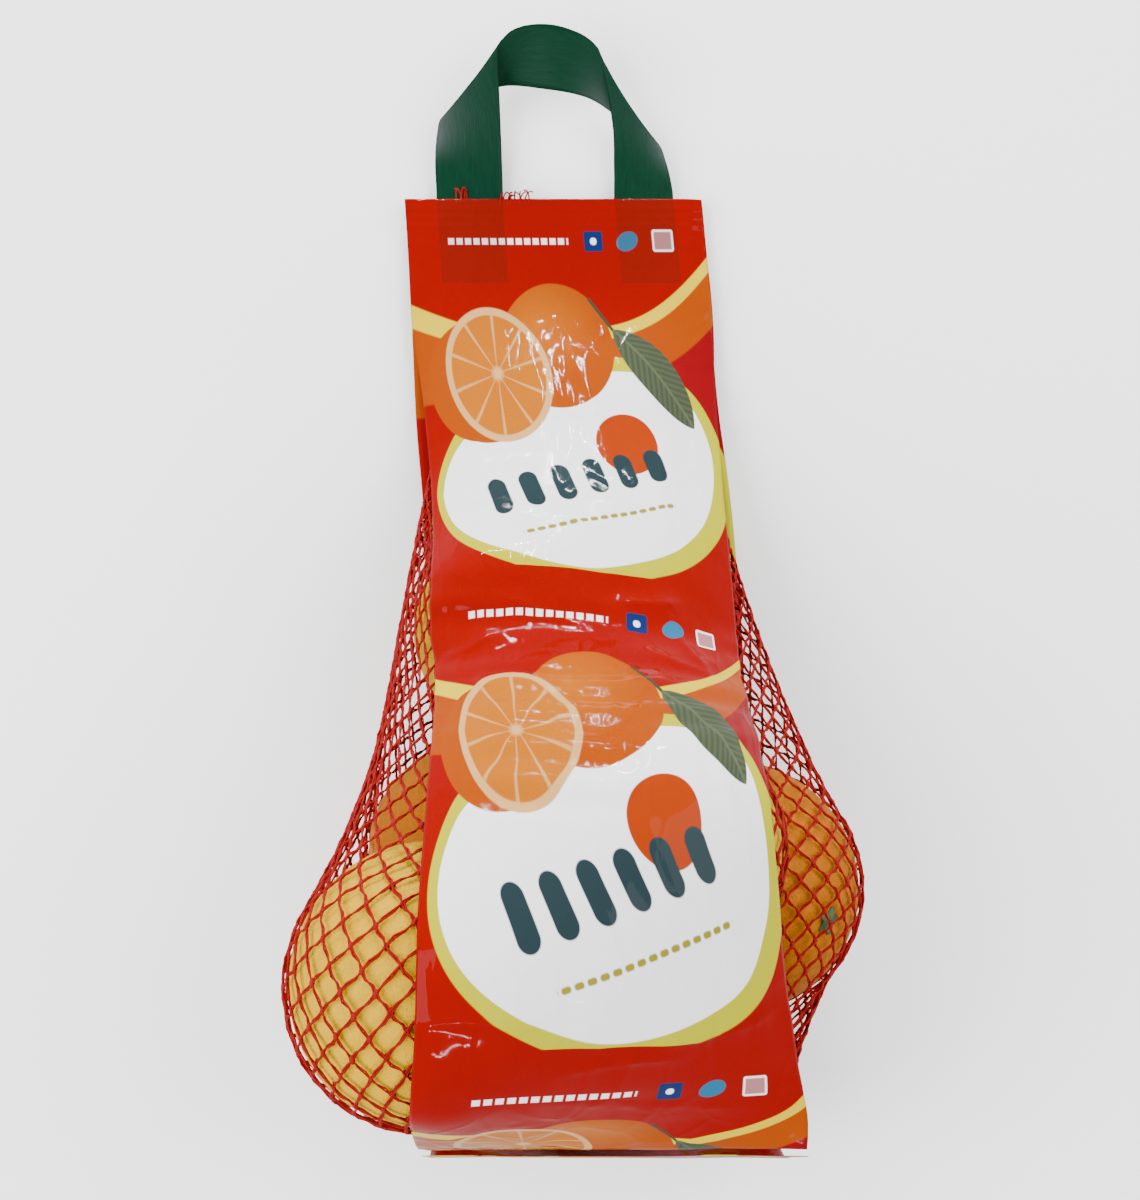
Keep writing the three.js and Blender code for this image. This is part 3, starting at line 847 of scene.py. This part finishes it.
def make_front_film():
    """The front film, wrinkled, with a flat seam and the welds across both ends."""
    ys = np.linspace(HEM_Y + 0.15, SEAM_Y - 0.05, 80)
    scanned = ease(scan_film("front_film", ys, 24), 2)
    grid = even_rows(spread(scanned, 330), 110)
    across, down = film_coordinates(grid)
    grid = grid - grid_normals(grid) * CAD_FILM / 2
    lift = wrinkle_height(across, down)
    lift *= 1 - window(down, -40, 26, 12)
    end = down.max()
    for weld in (4.0, 7.0, 10.0, end - 9.0, end - 6.0):
        lift += 0.16 * np.exp(-((down - weld) / 0.6) ** 2)
    grid = grid + grid_normals(grid) * lift[..., None]
    film = film_object("front_film_print", grid, film_material("film_print", True), FOOT_PRINT_HASTE)
    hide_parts("front_film")
    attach(film, "root")
    return scanned


def make_back_film():
    """The back film, from its hem up in front, round the foot and along the table."""
    ys = np.linspace(FOOT_AXIS_Y, SEAM_Y + 0.6, 60)
    scanned = ease(scan_film("back_film", ys, 24), 1)
    hem = np.array([HEM_Y - 1.6, HEM_Z - 3])
    foot_start = np.array([FOOT_AXIS_Y - FOOT_RADIUS, FOOT_AXIS_Z])
    route = [hem + (foot_start - hem) * f for f in np.linspace(0, 1, 7)[:-1]]
    for angle in np.linspace(math.pi / 2, 0, 16)[:-1]:
        away = np.array([math.sin(angle), math.cos(angle)])
        route.append(np.array([FOOT_AXIS_Y, FOOT_AXIS_Z]) - FOOT_RADIUS * away)
    rows = []
    for y, z in route:
        middle = 10 + 2.5 * z / HEM_Z
        xs = np.linspace(middle - FILM_WIDTH / 2, middle + FILM_WIDTH / 2, 24)
        rows.append([(x, y, z) for x in xs])
    grid = spread(np.concatenate([np.array(rows), scanned]), 300)
    grid = even_rows(grid, 60)
    across, down = film_coordinates(grid)
    normal = grid_normals(grid)
    calm = np.clip((grid[..., 2] - 3.0) / 10.0, 0, 1)
    lift = 0.5 * noise_grid(across, down, 30, 14, 2.2) * calm - CAD_FILM / 2
    grid = grid + normal * lift[..., None]
    film = film_object("back_film_print", grid, film_material("back_print", False))
    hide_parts("back_film")
    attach(film, "root")
    return scanned


# ---------------------------------------------------------------- fruit
def ring_faces(rings, around):
    """Quads between a stack of rings of points."""
    i, j = np.arange(rings)[:, None] * around, np.arange(around)[None, :]
    k = (j + 1) % around
    return np.stack([i + j, i + around + j, i + around + k, i + k], axis=-1).reshape(-1, 4)


def on_ball(polar, angle):
    return Vector((math.sin(polar) * math.cos(angle), math.sin(polar) * math.sin(angle), math.cos(polar)))


def stem_turn(stem):
    """The rotation that takes +Z to a fruit's stem end."""
    return Vector((0, 0, 1)).rotation_difference(Vector(stem).normalized()).to_matrix()


def fruit_mesh(centre, radius, stem, seed):
    """A ball with a stem dimple, a blossom end and a slightly uneven outline."""
    around, down = 96, 64
    turn = stem_turn(stem)
    verts = []
    for i in range(down + 1):
        polar = math.pi * i / down
        for j in range(around):
            angle = 2 * math.pi * j / around
            local = on_ball(polar, angle)
            uneven = 0.010 * noise.noise(local * 1.4 + Vector((seed, 0, 0)))
            uneven += 0.004 * noise.noise(local * 4.0 + Vector((0, seed, 0)))
            dimple = 0.035 * math.exp(-((polar / 0.20) ** 2))
            dimple += 0.012 * math.exp(-(((math.pi - polar) / 0.12) ** 2))
            folds = 0.006 * math.cos(angle * 7) * math.sin(min(polar * 6, 1.5))
            folds *= math.exp(-((polar / 0.35) ** 2))
            reach = radius * (0.992 + uneven - dimple + folds)
            verts.append(Vector(centre) + turn @ (local * reach))
    return np.array(verts), ring_faces(down, around)


def make_fruit():
    """Each fruit as its own ball, in golden peel or in a darker, redder peel with painted shade and a painted
    red reflection from the film.
    """
    golden = peel_material("peel_golden", *PEEL_GOLDEN)
    red_shade = peel_material("peel_red_shade", *PEEL_RED_SHADE)
    for index, (x, y, z, radius, stem) in enumerate(FRUIT):
        number = index + 1
        verts, faces = fruit_mesh((x, y, z), radius, stem, number * 3.7)
        # painted shade and a painted red reflection from the film on some fruit
        material = red_shade if index in RED_SHADE_FRUIT else golden
        orange = new_object(f"orange_{number}", place(verts), faces, material)
        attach(orange, "root")


def make_calyx():
    """The dried green star left at the stem of one fruit."""
    x, y, z, radius, stem = FRUIT[CALYX_FRUIT]
    turn = stem_turn(stem)
    rings, around = 7, 60
    verts = []
    for i in range(rings + 1):
        out = i / rings
        for j in range(around):
            angle = 2 * math.pi * j / around
            lobe = 0.62 + 0.38 * abs(math.cos(2.5 * angle)) ** 1.5
            reach = out * 4.4 * lobe
            rise = 0.9 * math.exp(-((out / 0.35) ** 2)) + 0.25 * math.sin(out * 3.0)
            local = Vector((reach * math.cos(angle), reach * math.sin(angle), radius * 0.968 + rise))
            verts.append(Vector((x, y, z)) + turn @ local)
    calyx = new_object("calyx", place(np.array(verts)), ring_faces(rings, around), calyx_material())
    solid = calyx.modifiers.new("thick", "SOLIDIFY")
    solid.thickness = 0.0006
    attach(calyx, "root")


# ---------------------------------------------------------------- netting
class FilmHeights:
    """Looks up the height of a scanned film over many points at once."""

    def __init__(self, rows, margin):
        self.y0 = rows[0, 0, 1]
        self.pitch = (rows[-1, 0, 1] - self.y0) / (len(rows) - 1)
        self.rows = rows
        self.margin = margin

    def at(self, x, y):
        row = np.clip((y - self.y0) / self.pitch, 0, len(self.rows) - 1.001)
        i = row.astype(int)
        near, inside_near = self._row(i, x)
        far, inside_far = self._row(i + 1, x)
        over = (y >= self.y0) & (y <= self.rows[-1, 0, 1]) & inside_near & inside_far
        return near + (far - near) * (row - i), over

    def _row(self, i, x):
        left, right = self.rows[i, 0, 0], self.rows[i, -1, 0]
        last = self.rows.shape[1] - 1
        at = (x - left) / (right - left) * last
        j = np.clip(at.astype(int), 0, last - 1)
        a, b = self.rows[i, j, 2], self.rows[i, j + 1, 2]
        inside = (x > left - self.margin) & (x < right + self.margin)
        return a + (b - a) * (at - j), inside


def slit_ring(middle, width, slope, thick=1.6):
    """A ring of the net pressed into a slit, leaning by a slope."""
    angle = np.arange(NET_COLUMNS) / NET_COLUMNS * 2 * math.pi
    height = np.sin(angle)
    lift = np.sign(height) * np.abs(height) ** 0.3 * thick / 2
    return np.stack([
        middle[0] + np.cos(angle) * width / 2,
        middle[1] - lift * math.sin(slope),
        middle[2] + lift * math.cos(slope),
    ], axis=1)


def wrap_net(front_rows, back_rows):
    """A tube between two slits that shrinks on to the fruit like a stretched skin."""
    front = FilmHeights(front_rows, 9.0)
    back = FilmHeights(back_rows, 2.0)
    foot = slit_ring(NET_FOOT_MIDDLE, NET_FOOT_WIDTH, math.pi / 4)
    seam = slit_ring(NET_SEAM_MIDDLE, NET_SEAM_WIDTH, 0.0)
    v = np.arange(NET_ROWS + 1)[:, None] / NET_ROWS
    swell = np.sin(math.pi * np.minimum(1, v * 1.05)) ** 0.5
    angle = np.arange(NET_COLUMNS)[None, :] / NET_COLUMNS * 2 * math.pi
    net = foot[None] * (1 - v[..., None]) + seam[None] * v[..., None]
    net[..., 0] += np.cos(angle) * 52 * swell
    net[..., 2] += (64 - net[..., 2]) * swell * 0.8 + np.sin(angle) * 80 * swell
    net[0], net[-1] = foot, seam
    for steps in NET_STEPS:
        for _ in range(steps):
            middle = net[1:-1]
            hoop = (np.roll(middle, 1, axis=1) + np.roll(middle, -1, axis=1)) / 2
            stretch = (net[:-2] + net[2:]) / 2
            pull = stretch * NET_PULL + hoop * (1 - NET_PULL) - middle
            net[1:-1] = hold(middle + 0.8 * pull, front, back)
        for _ in range(NET_RESPACINGS):
            net[1:-1] = [even_ring(ring) for ring in net[1:-1]]
            net = even_rows(net.transpose(1, 0, 2), NET_ROWS + 1).transpose(1, 0, 2)
            net[1:-1] = hold(net[1:-1], front, back)
    return net


def even_ring(ring):
    """The points of a closed ring respaced evenly, shifted as little as possible."""
    count = len(ring)
    sides = np.linalg.norm(np.roll(ring, -1, axis=0) - ring, axis=1)
    total = sides.sum()
    at = np.concatenate([[0], np.cumsum(sides)[:-1]])
    want = np.arange(count) * total / count
    want = want + (at - want).mean()
    return np.stack([np.interp(want, at, ring[:, k], period=total) for k in range(3)], axis=1)


def clear_of_fruit(points, clearance):
    """Points moved straight out of every fruit, to a clearance from it."""
    for x, y, z, radius, _ in FRUIT:
        away = points - (x, y, z)
        distance = np.linalg.norm(away, axis=2, keepdims=True)
        points = points + away / distance * np.maximum(radius + clearance - distance, 0)
    return points


def hold(p, front, back):
    """Moves points out of the fruit, inside the foot and between the films."""
    reach = FOOT_RADIUS - NET_OVER_BACK
    p = clear_of_fruit(p, NET_CLEARANCE)
    foot_part = p[..., 1] < FOOT_AXIS_Y
    dy, dz = p[..., 1] - FOOT_AXIS_Y, p[..., 2] - FOOT_AXIS_Z
    far = np.hypot(dy, dz)
    curve = foot_part & (dz < 0) & (far > reach)
    scale = np.where(curve, reach / np.maximum(far, 1e-6), 1.0)
    p[..., 1] = np.where(curve, FOOT_AXIS_Y + dy * scale, p[..., 1])
    p[..., 2] = np.where(curve, FOOT_AXIS_Z + dz * scale, p[..., 2])
    rise = np.clip(dz / (HEM_Z - FOOT_AXIS_Z), 0, 1)
    wall = (FOOT_AXIS_Y - reach) * (1 - rise) + NET_FOOT_Y * rise
    p[..., 1] = np.where(foot_part & (dz >= 0), np.maximum(p[..., 1], wall), p[..., 1])
    lower, over = back.at(p[..., 0], p[..., 1])
    p[..., 2] = np.maximum(p[..., 2], np.where(over, lower, CAD_FILM) + NET_OVER_BACK)
    upper, under = front.at(p[..., 0], p[..., 1])
    ceiling = np.where(under, upper - CAD_FILM - NET_UNDER_FRONT, np.inf)
    ceiling = np.where(p[..., 1] > NET_FLAT_Y, np.minimum(ceiling, NET_FLAT_TOP), ceiling)
    p[..., 2] = np.minimum(p[..., 2], ceiling)
    return p


def tube_mesh(paths, radius, sides, side, normal):
    """Tubes of one radius along many paths at once: (count, steps, 3) arrays."""
    count, steps, _ = paths.shape
    angle = (np.arange(sides) / sides * 2 * math.pi)[None, None, :, None]
    spokes = np.cos(angle) * side[:, :, None] + np.sin(angle) * normal[:, :, None]
    verts = (paths[:, :, None] + radius * spokes).reshape(-1, 3)
    base = (np.arange(count)[:, None, None] * steps + np.arange(steps - 1)[None, :, None]) * sides
    j = np.arange(sides)[None, None, :]
    k = (j + 1) % sides
    faces = np.stack([base + j, base + k, base + sides + k, base + sides + j], axis=-1).reshape(-1, 4)
    return verts, faces


def unit(vectors):
    """Vectors of length 1."""
    return vectors / np.maximum(np.linalg.norm(vectors, axis=-1, keepdims=True), 1e-9)


def strand_paths(net, steps):
    """Curved strands between the knots, and the surface's outward direction along them."""
    rows, columns, _ = net.shape
    outward = -grid_normals(net, closed=True)
    length = unit(np.gradient(net, axis=0))
    starts, ends, normals, tangents = [], [], [], []
    for i in range(rows - 1):
        for j in range(i % 2, columns, 2):
            for other in ((j + 1) % columns, (j - 1) % columns):
                starts.append(net[i, j])
                ends.append(net[i + 1, other])
                normals.append((outward[i, j], outward[i + 1, other]))
                tangents.append((length[i, j], length[i + 1, other]))
    a, b = np.array(starts), np.array(ends)
    n, t = np.array(normals), np.array(tangents)
    chord = b - a
    size = np.linalg.norm(chord, axis=1, keepdims=True)
    straight = chord / size * (1 - STRAND_LEAN)
    ta = unit(straight + t[:, 0] * STRAND_LEAN) * size
    tb = unit(straight + t[:, 1] * STRAND_LEAN) * size
    f = np.linspace(0, 1, steps)[None, :, None]
    h00 = 2 * f ** 3 - 3 * f ** 2 + 1
    h10 = f ** 3 - 2 * f ** 2 + f
    h01 = -2 * f ** 3 + 3 * f ** 2
    h11 = f ** 3 - f ** 2
    paths = h00 * a[:, None] + h10 * ta[:, None] + h01 * b[:, None] + h11 * tb[:, None]
    out = unit((1 - f) * n[:, :1] + f * n[:, 1:])
    return clear_of_fruit(paths, YARN_CLEARANCE), out


def make_netting(front_rows, back_rows):
    """Two twisted yarns along every strand, the knots and the cut tails."""
    net = wrap_net(front_rows, back_rows)
    paths, out = strand_paths(net, STRAND_STEPS)
    along = unit(np.gradient(paths, axis=1))
    side = unit(np.cross(out, along))
    generator = np.random.default_rng(11)
    phase = generator.uniform(0, 2 * math.pi, (len(paths), 1, 1))
    twist = phase + np.linspace(0, 1, STRAND_STEPS)[None, :, None] * YARN_TWIST
    wobble = generator.normal(0, 0.12, paths.shape)
    wobble[:, 0] = wobble[:, -1] = 0
    offset = YARN_SPREAD * (np.cos(twist) * side + 0.55 * np.sin(twist) * out)
    material = yarn_material()
    pieces = []
    for label, sign in (("netting_yarn_a", 1.0), ("netting_yarn_b", -1.0)):
        moved = paths + sign * offset + wobble
        verts, faces = tube_mesh(moved, YARN_RADIUS, 4, side, out)
        pieces.append(new_object(label, place(verts), faces, material))
    pieces.append(make_knots(net, material))
    pieces.append(make_tails(material))
    for piece in pieces:
        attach(piece, "root")
    return pieces


def make_knots(net, material):
    """A small lump of looped yarn where the strands meet, longer along the bag."""
    rows, columns, _ = net.shape
    outward = -grid_normals(net, closed=True)
    length = unit(np.gradient(net, axis=0))
    around, down = 6, 4
    turns = [2 * math.pi * j / around for j in range(around)]
    ball = np.array([on_ball(math.pi * i / down, angle) for i in range(down + 1) for angle in turns])
    ball_faces = ring_faces(down, around)
    verts, faces = [], []
    generator = np.random.default_rng(5)
    for i in range(rows):
        for j in range(i % 2, columns, 2):
            up, axis = outward[i, j], length[i, j]
            across = np.cross(up, axis)
            local = ball * KNOT_HALF_SIZES * generator.uniform(0.85, 1.15)
            faces.append(ball_faces + len(verts) * len(ball))
            verts.append(net[i, j] + local[:, :1] * across + local[:, 1:2] * up + local[:, 2:] * axis)
    return new_object("netting_knots", place(np.concatenate(verts)), np.concatenate(faces), material)


def make_tails(material):
    """Cut ends of yarn that stick out over the top edge in small tufts."""
    generator = np.random.default_rng(23)
    steps = 9
    paths = np.zeros((len(TUFTS) * TUFT_YARNS, steps, 3))
    for n in range(len(paths)):
        middle, tall = TUFTS[n // TUFT_YARNS]
        x = middle + generator.uniform(-TUFT_SPREAD, TUFT_SPREAD)
        tall = tall * generator.uniform(0.5, 1.0)
        lean = generator.uniform(-2.0, 2.0)
        curl = generator.uniform(-1.6, 1.6)
        for i in range(steps):
            f = i / (steps - 1)
            paths[n, i] = (
                x + lean * f + curl * math.sin(f * 4.5),
                SEAM_Y - 5 + (5 + tall) * math.sin(f * 1.9),
                4.3 + 1.2 * f + 0.5 * math.sin(f * 3) * (n % 2),
            )
    along = unit(np.gradient(paths, axis=1))
    up = np.broadcast_to(np.array([0.0, 0.0, 1.0]), paths.shape)
    side = unit(np.cross(up, along))
    verts, faces = tube_mesh(paths, TAIL_RADIUS, 6, side, unit(np.cross(along, side)))
    return new_object("netting_tails", place(verts), faces, material)


# ---------------------------------------------------------------- handle
LEG_Z = 3.8
TAPE_OUTER = [
    (-47.5, 206, LEG_Z), (-47.6, 236, LEG_Z), (-48.3, 252, 5), (-47.6, 262, 7),
    (-45.5, 268, 8), (-37, 272, 5.5), (-25.5, 279.6, 8), (-8, 275.8, 13),
    (6, 272.6, 13), (16, 268.2, 9), (25, 263, 5.5), (31.5, 258, 7),
    (34.5, 251, 6), (36.4, 243, 4.5), (36.9, 236, LEG_Z), (36.9, 206, LEG_Z),
]
TAPE_INNER = [
    (-23.9, 206, LEG_Z), (-23.9, 236, LEG_Z), (-24.4, 254, 6), (-25, 272, 13),
    (-25.4, 286, 20.5), (-22, 290.8, 24), (-15.5, 292.8, 26), (-6, 292.8, 26.5),
    (3, 290.4, 25.5), (8.6, 287, 24), (10.6, 284.5, 21.5), (12, 279, 18),
    (15.2, 264, 9), (15.7, 250, 5.5), (15.7, 236, LEG_Z), (15.7, 206, LEG_Z),
]
TAPE_THICKNESS = 0.35


def make_handle():
    """The tape between its outer and inner edge, from one leg over the top to the other."""
    steps, columns = 300, 13
    outer = spread(np.array(TAPE_OUTER, float), steps)
    inner = spread(np.array(TAPE_INNER, float), steps)
    f = np.linspace(0, 1, columns)[None, :, None]
    grid = outer[:, None] * (1 - f) + inner[:, None] * f
    normal = grid_normals(grid)
    across = np.linalg.norm(grid - grid[:, :1], axis=2)
    gone = lengths_along(grid[:, columns // 2])
    along = np.tile(gone[:, None], (1, columns))
    ripple = 0.25 * noise_grid(across, along, 14, 16, 3.3) * window(along, 34, gone[-1] - 34, 12)
    grid = grid + normal * ripple[..., None]
    # painted grey sheen along the outer edge where the tape is bent over, on the way up each leg
    folds = window(along, 44, 84, 16) + window(along, gone[-1] - 96, gone[-1] - 40, 20)
    fold = np.exp(-across / 6.0) * folds
    coords = (across, along, fold)
    handle = shell_object("handle_tape", grid, normal, TAPE_THICKNESS, tape_material(), "tape_mm", coords)
    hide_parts("handle")
    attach(handle, "root")


add_camera()
add_studio()
front_rows = make_front_film()
back_rows = make_back_film()
make_fruit()
make_calyx()
netting = make_netting(front_rows, back_rows)
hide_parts("filled_net")
make_handle()
